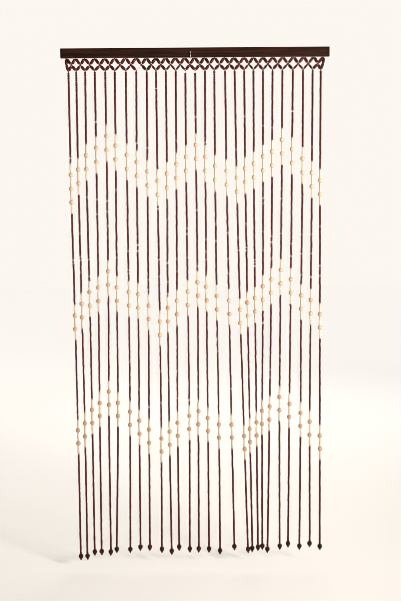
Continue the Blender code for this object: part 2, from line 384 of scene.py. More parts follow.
class Signal:
    """One output of a node, on which Python's operators add Math nodes."""

    def __init__(self, graph: "Graph", socket: bpy.types.NodeSocket) -> None:
        """Keeps the socket and the graph that it is in."""
        self.graph = graph
        self.socket = socket

    def math(self, operation: str, *values: "Signal | float") -> "Signal":
        """Adds a Math node of some operation on the values."""
        return self.graph.node("ShaderNodeMath", {"operation": operation}, dict(enumerate(values)))

    def __add__(self, other: "Signal | float") -> "Signal":
        """Adds a value."""
        return self.math("ADD", self, other)

    def __radd__(self, other: float) -> "Signal":
        """Is added to a value."""
        return self.math("ADD", other, self)

    def __sub__(self, other: "Signal | float") -> "Signal":
        """Takes a value away."""
        return self.math("SUBTRACT", self, other)

    def __rsub__(self, other: float) -> "Signal":
        """Is taken away from a value."""
        return self.math("SUBTRACT", other, self)

    def __mul__(self, other: "Signal | float") -> "Signal":
        """Multiplies by a value."""
        return self.math("MULTIPLY", self, other)

    def __abs__(self) -> "Signal":
        """Drops the sign."""
        return self.math("ABSOLUTE", self)

    def ramp(self, low: float, high: float) -> "Signal":
        """Rises smoothly from 0 to 1.

        Args:
            low: The value up to which it is 0.
            high: The value from which it is 1.

        Returns:
            The share from 0 to 1.
        """
        settings = {"interpolation_type": "SMOOTHSTEP"}
        inputs = {"Value": self, "From Min": low, "From Max": high}
        return self.graph.node("ShaderNodeMapRange", settings, inputs)

    def part(self, name: str) -> "Signal":
        """Returns another output of the same node."""
        return Signal(self.graph, self.socket.node.outputs[name])


class Graph:
    """A node tree that is being written."""

    def __init__(self, tree: bpy.types.NodeTree) -> None:
        """Keeps the tree."""
        self.tree = tree

    def node(
        self,
        kind: str,
        settings: Mapping[str, object] | None = None,
        inputs: Mapping[int | str, object] | None = None,
        output: int | str = 0,
    ) -> Signal:
        """Adds one node of any type.

        Args:
            kind: The node's type.
            settings: Its own properties, which are set first.
            inputs: A value or a Signal for each socket, by name or by place.
            output: The output to return.

        Returns:
            The chosen output.
        """
        node = self.tree.nodes.new(kind)
        for name, value in (settings or {}).items():
            setattr(node, name, value)
        self.feed(node, inputs or {})
        return Signal(self, node.outputs[output] if node.outputs else None)

    def feed(self, node: bpy.types.Node, inputs: Mapping[int | str, object]) -> None:
        """Sets a node's sockets.

        Args:
            node: The node.
            inputs: A Signal to link or a value to set for each socket, by name or by place.
        """
        for name, value in inputs.items():
            if isinstance(value, Signal):
                self.tree.links.new(value.socket, node.inputs[name])
            else:
                node.inputs[name].default_value = value

    def own_place(self) -> Signal:
        """Returns the object's own coordinates in a material."""
        return self.node("ShaderNodeTexCoord", output="Object")

    def axis(self, vector: Signal, name: str) -> Signal:
        """Returns a vector's value along one axis."""
        return self.node("ShaderNodeSeparateXYZ", None, {0: vector}, output=name)

    def attribute(self, name: str, output: str) -> Signal:
        """Reads one of the mesh's own attributes in a material."""
        return self.node("ShaderNodeAttribute", {"attribute_name": name}, output=output)

    def scaled(self, vector: Signal, scale: Sequence[float], shift: Signal | None = None) -> Signal:
        """Scales a vector along each axis, and moves it along all of them.

        Args:
            vector: The vector.
            scale: The factor for each axis.
            shift: How far it is moved, or None where it stays.

        Returns:
            The new vector.
        """
        shift = shift or self.node("ShaderNodeCombineXYZ")
        settings = {"operation": "MULTIPLY_ADD"}
        return self.node("ShaderNodeVectorMath", settings, {0: vector, 1: tuple(scale), 2: shift})

    def noise(
        self,
        vector: Signal,
        scale: Triple,
        detail: float,
        roughness: float = 0.5,
        shift: Signal | None = None,
    ) -> Signal:
        """Adds a noise.

        Args:
            vector: The place where it is read.
            scale: About how many cells it has to the metre along each axis.
            detail: The number of its finer layers.
            roughness: The strength of each layer beside the one before.
            shift: How far the scaled place is moved, or None where it stays.

        Returns:
            The noise, from 0 to 1.
        """
        vector = self.scaled(vector, scale, shift)
        inputs = {"Vector": vector, "Scale": 1.0, "Detail": detail, "Roughness": roughness}
        return self.node("ShaderNodeTexNoise", None, inputs)

    def mix(self, share: Signal, low: "Signal | Colour", high: "Signal | Colour") -> Signal:
        """Mixes two colours by a share from 0 to 1."""
        low, high = (c if isinstance(c, Signal) else (*c, 1.0) for c in (low, high))
        return self.node("ShaderNodeMix", {"data_type": "RGBA"}, {0: share, 6: low, 7: high}, output=2)

    def bump(self, height: Signal, strength: float, distance: float) -> Signal:
        """Turns a height into a normal."""
        inputs = {"Height": height, "Strength": strength, "Distance": distance}
        return self.node("ShaderNodeBump", None, inputs)

    def wave(self, direction: str, inputs: Mapping[str, object]) -> Signal:
        """Adds bands across a direction."""
        settings = {"wave_type": "BANDS", "bands_direction": direction}
        return self.node("ShaderNodeTexWave", settings, inputs, output="Fac")


@dataclass(frozen=True)
class Finish:
    """A finish, which works out the sockets of its Principled shader in a node tree."""

    name: str

    def sockets(self, graph: Graph) -> dict[str, object]:
        """Returns the number or the Signal for each socket that the finish sets."""
        raise NotImplementedError

    def material(self) -> bpy.types.Material:
        """Builds the finish's material.

        Returns:
            The material, with its nodes.
        """
        material = bpy.data.materials.new(self.name)
        material.use_nodes = True
        graph = Graph(material.node_tree)
        graph.feed(material.node_tree.nodes["Principled BSDF"], self.sockets(graph))
        return material


@dataclass(frozen=True)
class Lacquer(Finish):
    """Stained and lacquered wood of turned beads and tubes, which reads each form's own coordinates.

    deep and pale are its two tones, and spread is how far whole pieces differ. rim is the height above
    and below the form's middle where its edges begin, which are worn towards worn over the height fade.
    """

    deep: Colour
    pale: Colour
    worn: Colour
    rim: float
    roughness: float
    coat: float
    spread: float = 0.5
    fade: float = 0.8 * MM
    grain: Triple = (900.0, 900.0, 130.0)
    cloud: Triple = (160.0, 160.0, 90.0)
    shift: float = 60.0
    relief: float = 0.25

    def sockets(self, graph: Graph) -> dict[str, object]:
        """Mixes the tones by the grain and by the piece, and wears the edges.

        Args:
            graph: The material's nodes.

        Returns:
            The number or the Signal for each socket that it sets.
        """
        local = graph.attribute("local", "Vector")
        tone = graph.attribute("tone", "Fac")
        shift = tone * self.shift
        grain = graph.noise(local, self.grain, 4.0, 0.6, shift)
        cloud = graph.noise(local, self.cloud, 2.0, shift=shift)
        share = grain.ramp(0.3, 0.7) * (1.0 - self.spread) + (tone + cloud - 0.5) * self.spread
        height = abs(graph.axis(local, "Z"))
        wear = height.ramp(self.rim, self.rim + self.fade) * grain.ramp(0.35, 0.65) * 0.7
        return {
            "Base Color": graph.mix(wear, graph.mix(share, self.deep, self.pale), self.worn),
            "Roughness": self.roughness + cloud * 0.15 + wear * 0.2,
            "Coat Weight": self.coat,
            "Coat Roughness": 0.15,
            "Specular IOR Level": 0.14,
            "Normal": graph.bump(grain, self.relief, 0.1 * MM),
        }


@dataclass(frozen=True)
class NaturalWood(Finish):
    """Clear-lacquered wood of the round beads, with fine lines of grain, a darker bore, and an amber lowest
    band that is partly painted shade.
    """

    light: Colour
    line: Colour
    amber_and_shade: Colour
    bore: Colour
    bore_height: float
    bore_blur: float = 0.7 * MM
    flow: Triple = (130.0, 130.0, 45.0)
    grain: Triple = (230.0, 230.0, 30.0)
    fibre: Triple = (1400.0, 1400.0, 160.0)
    shift: float = 40.0

    def sockets(self, graph: Graph) -> dict[str, object]:
        """Mixes the band's tone, partly painted shade in the lowest band, the lines of the grain and the
        darkened bore.

        Args:
            graph: The material's nodes.

        Returns:
            The number or the Signal for each socket that it sets.
        """
        local = graph.attribute("local", "Vector")
        tone = graph.attribute("tone", "Fac")
        shade = graph.attribute("shade", "Fac")
        shift = tone * self.shift
        flow = graph.noise(local, self.flow, 2.0, shift=shift)
        along = graph.scaled(local, self.grain, shift + flow * 2.0)
        inputs = {"Vector": along, "Scale": 1.0, "Distortion": 5.0, "Detail": 3.0, "Detail Scale": 1.4}
        lines = graph.wave("X", inputs)
        fibre = graph.noise(local, self.fibre, 3.0, shift=shift)
        height = abs(graph.axis(local, "Z"))
        around_bore = height.ramp(self.bore_height - self.bore_blur, self.bore_height)
        # The lowest band goes amber: partly the wood's own warmer tone, partly painted shade for the weaker
        # light low down.
        plain = graph.mix((shade + tone * 0.5 - 0.1).ramp(0.3, 1.1), self.light, self.amber_and_shade)
        grained = graph.mix(lines.ramp(0.45, 1.0) * 0.55 + fibre.ramp(0.5, 0.8) * 0.25, plain, self.line)
        return {
            "Base Color": graph.mix(around_bore * 0.75, grained, self.bore),
            "Roughness": 0.3 + fibre * 0.2,
            "Coat Weight": 0.2,
            "Coat Roughness": 0.2,
            "Specular IOR Level": 0.35,
            "Normal": graph.bump(fibre + lines * 0.6, 0.2, 0.1 * MM),
        }


@dataclass(frozen=True)
class SlatWood(Finish):
    """Dark stained wood of the slat, with long grain, darker sealed ends and lighter edges that are partly
    rubbed and partly a painted highlight.
    """

    deep: Colour
    streak: Colour
    rubbed_and_highlight: Colour
    half_length: float
    half_height: float
    end_band: float = 9 * MM
    end_blur: float = 1 * MM
    edge: tuple[float, float] = (1.6 * MM, 0.2 * MM)

    def sockets(self, graph: Graph) -> dict[str, object]:
        """Mixes the streaks, pores, lighter edges (rubbed wood with a painted highlight) and sealed ends.

        Args:
            graph: The material's nodes.

        Returns:
            The number or the Signal for each socket that it sets.
        """
        place = graph.own_place()
        warp = graph.noise(place, (9.0, 40.0, 40.0), 2.0) * 0.8
        broad = graph.noise(place, (5.0, 130.0, 190.0), 4.0, 0.55, warp)
        pores = graph.noise(place, (70.0, 1500.0, 1900.0), 2.0, shift=warp)
        sealed = self.half_length - self.end_band
        end = abs(graph.axis(place, "X")).ramp(sealed - self.end_blur, sealed + self.end_blur)
        edge = abs(graph.axis(place, "Z")).ramp(*(self.half_height - inset for inset in self.edge))
        streaked = graph.mix(broad.ramp(0.35, 0.7), self.deep, self.streak)
        pored = graph.mix(pores.ramp(0.56, 0.72) * 0.7, streaked, self.deep)
        # Top and bottom edges go lighter: partly rubbed wood, partly a painted highlight.
        rubbed_and_highlight = graph.mix(edge * broad.ramp(0.45, 0.7) * 0.55, pored, self.rubbed_and_highlight)
        return {
            "Base Color": graph.mix(end * 0.75, rubbed_and_highlight, self.deep),
            "Roughness": 0.55 + pores * 0.2 - edge * 0.1,
            "Specular IOR Level": 0.08,
            "Normal": graph.bump(broad * 0.5 - pores.ramp(0.55, 0.7) * 0.6, 0.35, 0.25 * MM),
        }


@dataclass(frozen=True)
class Cord(Finish):
    """Twisted cord, with slanting strands, painted shade in the grooves between them and a little fuzz of
    colour.
    """

    strand: Colour
    hollow_shade: Colour
    bands: float = 1 / (6.6 * MM)
    fuzz: Triple = (2500.0, 2500.0, 2500.0)

    def sockets(self, graph: Graph) -> dict[str, object]:
        """Mixes the strands, the painted shade in their grooves and the fuzz.

        Args:
            graph: The material's nodes.

        Returns:
            The number or the Signal for each socket that it sets.
        """
        place = graph.own_place()
        inputs = {"Vector": place, "Scale": self.bands, "Distortion": 1.0, "Detail": 1.0}
        strands = graph.wave("DIAGONAL", inputs)
        fuzz = graph.noise(place, self.fuzz, 2.0)
        return {
            # The darker colour between the strands is painted shade in the grooves of the twist.
            "Base Color": graph.mix(strands * 0.7 + fuzz * 0.3, self.hollow_shade, self.strand),
            "Roughness": 0.75 + fuzz * 0.2,
            "Sheen Weight": 0.3,
            "Normal": graph.bump(strands + fuzz * 0.5, 0.5, 0.2 * MM),
        }


@dataclass(frozen=True)
class DrawnSteel(Finish):
    """Bright drawn wire, with fine lines along it."""

    colour: Colour
    dull: Colour
    drawing: Triple = (3000.0, 200.0, 200.0)
    cloud: Triple = (300.0, 300.0, 300.0)

    def sockets(self, graph: Graph) -> dict[str, object]:
        """Mixes the bright and the dull steel.

        Args:
            graph: The material's nodes.

        Returns:
            The number or the Signal for each socket that it sets.
        """
        place = graph.own_place()
        lines = graph.noise(place, self.drawing, 3.0)
        cloud = graph.noise(place, self.cloud, 2.0)
        return {
            "Base Color": graph.mix(cloud.ramp(0.45, 0.75) * 0.6, self.colour, self.dull),
            "Metallic": 1.0,
            "Roughness": 0.2 + lines * 0.15 + cloud * 0.1,
            "Normal": graph.bump(lines, 0.1, 0.05 * MM),
        }


@dataclass(frozen=True)
class Plaster(Finish):
    """Plain pale surface of the studio floor, which glows a little from near to far behind the curtain."""

    colour: Colour
    fleck: Colour
    glow: Colour
    flecks: Triple = (3.0, 3.0, 3.0)
    near: float = -3.5
    far: float = 5.0

    def sockets(self, graph: Graph) -> dict[str, object]:
        """Mixes the flecks, and brings up the glow towards the back.

        Args:
            graph: The material's nodes.

        Returns:
            The number or the Signal for each socket that it sets.
        """
        place = graph.own_place()
        cloud = graph.noise(place, self.flecks, 3.0)
        lit = graph.axis(place, "Y").ramp(self.near, self.far)
        return {
            "Base Color": graph.mix(cloud * 0.4, self.colour, self.fleck),
            "Roughness": 0.9,
            "Specular IOR Level": 0.1,
            "Emission Color": graph.mix(lit, (0.0, 0.0, 0.0), self.glow),
            "Emission Strength": 1.0,
        }


def turned(name: str, profile: Profile, sides: int, bored: bool = False) -> bpy.types.Object:
    """Turns a profile round Z into a closed form, which keeps its own coordinates in an attribute.

    Args:
        name: The form's name.
        profile: Radii and heights from the bottom up. A radius of 0 is a pole.
        sides: The number of faces round it.
        bored: Whether the profile closes on itself round a bore.

    Returns:
        The form as an object, for the trees to repeat.
    """
    mesh = bmesh.new()
    rings = []
    for radius, height in profile:
        turns = [math.tau * step / sides for step in range(sides)] if radius else [0.0]
        rings.append([mesh.verts.new((radius * math.cos(t), radius * math.sin(t), height)) for t in turns])
    pairs = list(zip(rings, rings[1:]))
    if bored:
        pairs.append((rings[-1], rings[0]))
    for low, high in pairs:
        for step in range(sides):
            pair = (step, (step + 1) % sides)
            corners = [low[place % len(low)] for place in pair]
            corners += [high[place % len(high)] for place in reversed(pair)]
            mesh.faces.new(dict.fromkeys(corners))
    bmesh.ops.recalc_face_normals(mesh, faces=mesh.faces)
    data = bpy.data.meshes.new(name)
    mesh.to_mesh(data)
    mesh.free()
    data.shade_smooth()
    data.set_sharp_from_angle(angle=math.radians(55))
    local = data.attributes.new("local", "FLOAT_VECTOR", "POINT")
    local.data.foreach_set("vector", [value for vertex in data.vertices for value in vertex.co])
    return bpy.data.objects.new(name, data)


def arc(centre: float, radius: float, start: float, end: float, steps: int) -> list[tuple[float, float]]:
    """Lists the points of a round stretch of a profile.

    Args:
        centre: The height of its centre, on the axis.
        radius: Its radius.
        start: The first angle above the level, in degrees.
        end: The last angle.
        steps: The number of steps between them.

    Returns:
        Radii and heights.
    """
    angles = [math.radians(start + (end - start) * step / steps) for step in range(steps + 1)]
    return [(radius * math.cos(angle), centre + radius * math.sin(angle)) for angle in angles]


def mirrored(profile: Profile) -> list[tuple[float, float]]:
    """Completes the lower half of a profile with its mirror image above."""
    return [*profile, *((radius, -height) for radius, height in reversed(profile))]


@dataclass(frozen=True)
class Wear:
    """How turned forms look: the record's slot for them, and their finish.

    tilt is how far they lean off their string, in radians, and unevenness how far their widths differ.
    """

    slot: str
    finish: Finish
    tilt: float
    unevenness: float


class Tree:
    """A Geometry Nodes tree with named inputs, and the way to run it on a mesh."""

    def __init__(self, name: str, sockets: Mapping[str, tuple[str, object]]) -> None:
        """Starts the tree.

        Args:
            name: Its name.
            sockets: Each input's name, with its socket's type and its default value.
        """
        self.tree = bpy.data.node_groups.new(name, "GeometryNodeTree")
        self.graph = Graph(self.tree)
        self.identifiers: dict[str, str] = {}
        self.tree.interface.new_socket("Geometry", in_out="INPUT", socket_type="NodeSocketGeometry")
        self.tree.interface.new_socket("Geometry", in_out="OUTPUT", socket_type="NodeSocketGeometry")
        for label, (kind, default) in sockets.items():
            socket = self.tree.interface.new_socket(label, in_out="INPUT", socket_type=kind)
            if default is not None:
                socket.default_value = default
            self.identifiers[label] = socket.identifier
        self.given = self.graph.node("NodeGroupInput")

    def named(self, name: str, kind: str) -> Signal:
        """Reads an attribute of the points."""
        return self.graph.node("GeometryNodeInputNamedAttribute", {"data_type": kind}, {"Name": name})

    def end(self, geometry: Signal) -> None:
        """Realizes the instances, sets the finish and closes the tree.

        Args:
            geometry: What the tree has made.
        """
        real = self.graph.node("GeometryNodeRealizeInstances", None, {"Geometry": geometry})
        inputs = {"Geometry": real, "Material": self.given.part("Finish")}
        done = self.graph.node("GeometryNodeSetMaterial", None, inputs)
        self.graph.node("NodeGroupOutput", None, {"Geometry": done})

    def run(self, piece: bpy.types.Object, values: Mapping[str, object]) -> bpy.types.Object:
        """Runs the tree on a piece and keeps the result as a plain mesh.

        Args:
            piece: The object whose mesh holds the points.
            values: A value for each input, by its name.

        Returns:
            The same object.
        """
        modifier = piece.modifiers.new("tree", "NODES")
        modifier.node_group = self.tree
        for label, value in values.items():
            modifier[self.identifiers[label]] = value
        bpy.context.scene.collection.objects.link(piece)
        graph = bpy.context.evaluated_depsgraph_get()
        evaluated = piece.evaluated_get(graph)
        data = bpy.data.meshes.new_from_object(evaluated, preserve_all_data_layers=True, depsgraph=graph)
        data.name = piece.name
        piece.modifiers.clear()
        piece.data = data
        return piece


def hand_over(piece: bpy.types.Object, slot: str, *replaced: str) -> None:
    """Hangs a finished piece on the curtain's body.

    Args:
        piece: The piece.
        slot: The record's material slot for its finish, which is named in the log.
        replaced: The solids that it stands for.
    """
    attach(piece, BODY)
    if replaced:
        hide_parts(*replaced)
    faces = sum(len(polygon.vertices) - 2 for polygon in piece.data.polygons)
    solids = ", ".join(replaced) or "no solid"
    LOG.info("%s: %d triangles, slot %s, for %s", piece.name, faces, slot, solids)


class Stringer(Tree):
    """The tree that sets a form at every place, turned along its string and a little off true."""

    def __init__(self) -> None:
        """Builds the tree."""
        sockets = {
            "Form": ("NodeSocketObject", None),
            "Tilt": ("NodeSocketFloat", 0.0),
            "Unevenness": ("NodeSocketFloat", 0.0),
            "Seed": ("NodeSocketInt", SEED),
            "Finish": ("NodeSocketMaterial", None),
        }
        super().__init__("stringer", sockets)
        graph, given = self.graph, self.given
        form = graph.node("GeometryNodeObjectInfo", None, {"Object": given.part("Form")}, output="Geometry")
        way = {"Vector": self.named("way", "FLOAT_VECTOR")}
        along = graph.node("FunctionNodeAlignRotationToVector", {"axis": "Z"}, way)
        tilt, uneven = given.part("Tilt"), given.part("Unevenness")
        low = graph.node("ShaderNodeCombineXYZ", None, {0: 0.0 - tilt, 1: 0.0 - tilt, 2: 0.0})
        high = graph.node("ShaderNodeCombineXYZ", None, {0: tilt, 1: tilt, 2: math.tau})
        lean = self.dice("FLOAT_VECTOR", {0: low, 1: high}, 0, 0)
        turn = graph.node("FunctionNodeEulerToRotation", None, {"Euler": lean})
        turns = {"Rotation": along, "Rotate By": turn}
        rotation = graph.node("FunctionNodeRotateRotation", {"rotation_space": "LOCAL"}, turns)
        spread = self.dice("FLOAT", {2: 1.0 - uneven, 3: 1.0 + uneven}, 1, 1)
        size = graph.node("ShaderNodeCombineXYZ", None, {0: spread, 1: spread, 2: 1.0})
        sizes = {0: self.named("girth", "FLOAT_VECTOR"), 1: size}
        scale = graph.node("ShaderNodeVectorMath", {"operation": "MULTIPLY"}, sizes)
        inputs = {"Points": given, "Instance": form, "Rotation": rotation, "Scale": scale}
        placed = graph.node("GeometryNodeInstanceOnPoints", None, inputs)
        settings = {"data_type": "FLOAT", "domain": "INSTANCE"}
        inputs = {"Geometry": placed, "Name": "tone", "Value": self.dice("FLOAT", {2: 0.0, 3: 1.0}, 1, 2)}
        self.end(graph.node("GeometryNodeStoreNamedAttribute", settings, inputs))

    def dice(self, kind: str, limits: Mapping[int, object], output: int, throw: int) -> Signal:
        """Adds a random value for each point, on a seed of its own."""
        inputs = {**limits, "Seed": self.given.part("Seed") + float(throw)}
        return self.graph.node("FunctionNodeRandomValue", {"data_type": kind}, inputs, output=output)

    def string(self, name: str, places: Sequence[Place], form: bpy.types.Object, wear: Wear) -> None:
        """Sets a form at every place, as one mesh, and hangs it on the curtain for the strings' solid.

        Args:
            name: The piece's name.
            places: Where the forms go.
            form: The form to repeat.
            wear: Its finish, and how far the forms differ.
        """
        data = bpy.data.meshes.new(name)
        data.from_pydata([place.centre for place in places], [], [])
        for label in ("way", "girth"):
            values = [value for place in places for value in getattr(place, label)]
            data.attributes.new(label, "FLOAT_VECTOR", "POINT").data.foreach_set("vector", values)
        data.attributes.new("shade", "FLOAT", "POINT").data.foreach_set("value", [p.shade for p in places])
        values = {
            "Form": form,
            "Tilt": wear.tilt,
            "Unevenness": wear.unevenness,
            "Seed": SEED + len(places),
            "Finish": wear.finish.material(),
        }
        hand_over(self.run(bpy.data.objects.new(name, data), values), wear.slot, "bead_strings")


class Sweeper(Tree):
    """The tree that sweeps a round section along every stroke."""

    def __init__(self) -> None:
        """Builds the tree."""
        sockets = {"Sides": ("NodeSocketInt", 8), "Finish": ("NodeSocketMaterial", None)}
        super().__init__("sweeper", sockets)
        graph, given = self.graph, self.given
        curve = graph.node("GeometryNodeMeshToCurve", None, {"Mesh": given})
        radius = self.named("radius_here", "FLOAT")
        sized = graph.node("GeometryNodeSetCurveRadius", None, {"Curve": curve, "Radius": radius})
        section = {"Resolution": given.part("Sides"), "Radius": 1.0}
        circle = graph.node("GeometryNodeCurvePrimitiveCircle", None, section)
        inputs = {"Curve": sized, "Profile Curve": circle, "Fill Caps": True, "Scale": radius}
        swept = graph.node("GeometryNodeCurveToMesh", None, inputs)
        self.end(graph.node("GeometryNodeSetShadeSmooth", None, {"Geometry": swept}))

    def sweep(self, name: str, strokes: Iterable[Stroke], finish: Finish, sides: int) -> bpy.types.Object:
        """Sweeps a round section along strokes, as one mesh.

        Args:
            name: The piece's name.
            strokes: The paths, with their radii.
            finish: The finish.
            sides: The number of faces round the section.

        Returns:
            The piece.
        """
        points, edges, radii = [], [], []
        for stroke in strokes:
            first = len(points)
            points += [point for point, _ in stroke.points]
            radii += [radius for _, radius in stroke.points]
            edges += [(place, place + 1) for place in range(first, len(points) - 1)]
            if stroke.closed:
                edges.append((len(points) - 1, first))
        data = bpy.data.meshes.new(name)
        data.from_pydata(points, edges, [])
        data.attributes.new("radius_here", "FLOAT", "POINT").data.foreach_set("value", radii)
        return self.run(bpy.data.objects.new(name, data), {"Sides": sides, "Finish": finish.material()})


@dataclass
class Slat:
    """The stained slat, whose solid stays and gets its finish."""

    node: str = "rail"
    deep: Colour = (0.012, 0.0035, 0.002)
    streak: Colour = (0.036, 0.011, 0.0055)
    # The edges' lighter colour: partly rubbed wood, partly a painted highlight.
    rubbed_and_highlight: Colour = (0.10, 0.04, 0.022)

    def build(self) -> None:
        """Dresses the solid."""
        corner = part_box(self.node)[1]
        finish = SlatWood("slat_wood", self.deep, self.streak, self.rubbed_and_highlight, corner.x, corner.z)
        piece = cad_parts[self.node]
        piece.data.materials.clear()
        piece.data.materials.append(finish.material())
        LOG.info("%s: dressed as stained wood", piece.name)


@dataclass
class Turnery:
    """Turned pieces, which the stringer sets in the places of the plan."""

    plan: Plan
    stringer: Stringer


@dataclass
class SmallBeads(Turnery):
    """The small turned beads of all strings, dark in the runs and pale in the bands."""

    radius: float = 3.7 * MM
    shoulder: tuple[float, float] = (0.94, 0.68)
    belly: float = 0.26
    end_radius: float = 2.5 * MM
    dimple: float = 0.5 * MM
    gap: float = 0.08 * MM
    sides: int = 8
    groups: tuple[str, ...] = ("left", "middle", "right")
    girths: tuple[float, ...] = (1.04, 1.02, 0.95, 1.0)
    dark: Wear = Wear(
        "dark_bead",
        Lacquer(
            "dark_lacquer", (0.026, 0.0006, 0.0004), (0.10, 0.0020, 0.0012), (0.16, 0.010, 0.006),
            rim=3.3 * MM, roughness=0.36, coat=0.08,
        ),
        tilt=0.18, unevenness=0.07,
    )
    pale: Wear = Wear(
        "pale_bead",
        Lacquer(
            "cream_lacquer", (0.52, 0.42, 0.31), (0.64, 0.54, 0.45), (0.43, 0.30, 0.18),
            rim=3.3 * MM, roughness=0.38, coat=0.12,
        ),
        tilt=0.09, unevenness=0.04,
    )

    def form(self) -> bpy.types.Object:
        """Shapes one barrel-shaped bead with dimpled ends.

        Returns:
            The form, for the stringer to repeat.
        """
        half = self.plan.small_length / 2 - self.gap
        width, height = self.shoulder
        lower = [
            (0.0, -half + self.dimple),
            (self.end_radius, -half),
            (self.radius * width, -half * height),
            (self.radius, -half * self.belly),
        ]
        return turned("small_bead", mirrored(lower), self.sides)

    def build(self) -> None:
        """Builds the dark beads in groups of strings, and all the pale ones together."""
        form = self.form()
        share = len(CHART) // len(self.groups)
        for place, group in enumerate(self.groups):
            strings = range(place * share, (place + 1) * share)
            places = self.plan.places(Bead.DARK, strings, self.girths)
            self.stringer.string(f"dark_beads_{group}", places, form, self.dark)
        places = self.plan.places(Bead.PALE, range(len(CHART)))
        self.stringer.string("pale_beads", places, form, self.pale)


@dataclass
class RoundBeads(Turnery):
    """The larger round beads of natural wood, two in each band of a string."""

    radius: float = 7.9 * MM
    bore: float = 1.4 * MM
    gap: float = 0.1 * MM
    sides: int = 20
    steps: int = 10
    wear: Wear = Wear(
        "round_bead",
        NaturalWood(
            # The third colour, the lowest band's amber, is partly the wood's own and partly painted shade.
            "natural_wood", (0.59, 0.43, 0.28), (0.36, 0.21, 0.11), (0.46, 0.265, 0.145),
            bore=(0.18, 0.08, 0.04), bore_height=7.4 * MM,
        ),
        tilt=0.12, unevenness=0.035,
    )

    def form(self) -> bpy.types.Object:
        """Shapes one round bead, a little flattened at its bore.

        Returns:
            The form, for the stringer to repeat.
        """
        half = self.plan.round_length / 2 - self.gap
        rise = math.degrees(math.acos(self.bore / self.radius))
        ball = arc(0.0, self.radius, -rise, rise, self.steps)
        tallest = ball[-1][1]
        profile = [(radius, height * half / tallest) for radius, height in ball]
        return turned("round_bead", profile, self.sides, bored=True)

    def build(self) -> None:
        """Builds all the round beads."""
        places = self.plan.places(Bead.ROUND, range(len(CHART)))
        self.stringer.string("round_beads", places, self.form(), self.wear)


@dataclass
class EndBeads(Turnery):
    """The weight at the end of each string: a drop-shaped bead over a small pointed stopper.

    body and stopper hold radii and drops in millimetres, and belly is the drop of the widest place.
    """

    radius: float = 8.3 * MM
    belly: float = 8.6 * MM
    top_radius: float = 1.4 * MM
    dimple: float = 0.4 * MM
    body: Profile = ((8.2, 10.6), (7.6, 12.9), (6.4, 15.0), (4.5, 16.6), (2.9, 17.3))
    stopper: Profile = ((3.5, 17.9), (3.8, 19.2), (3.1, 21.2), (1.8, 23.2))
    tip_drop: float = 24.5 * MM
    sides: int = 20
    wear: Wear = Wear(
        "end_bead",
        Lacquer(
            "maroon_lacquer", (0.018, 0.0004, 0.0002), (0.048, 0.0008, 0.0004), (0.12, 0.02, 0.01),
            rim=30 * MM, roughness=0.36, coat=0.03,
        ),
        tilt=0.03, unevenness=0.02,
    )

    def form(self) -> bpy.types.Object:
        """Shapes the end bead and its stopper, turned in one, with the top at the origin.

        Returns:
            The form, for the stringer to repeat.
        """
        round_top = [(radius, height - self.belly) for radius, height in arc(0.0, self.radius, 70, 0, 6)]
        highest = round_top[0][1]
        below = [(radius * MM, -drop * MM) for radius, drop in (*self.body, *self.stopper)]
        top = [(0.0, highest - self.dimple), (self.top_radius, highest)]
        profile = [*top, *round_top, *below, (0.0, -self.tip_drop)]
        return turned("end_bead", profile[::-1], self.sides)

    def build(self) -> None:
        """Builds all the end beads."""
        places = []
        for index in range(len(CHART)):
            drop = self.plan.last_drop(index)
            centre, way = self.plan.middle(index, drop), self.plan.way(index, drop)
            places.append(Place(centre, way, Vector((1, 1, 1))))
        self.stringer.string("end_beads", places, self.form(), self.wear)


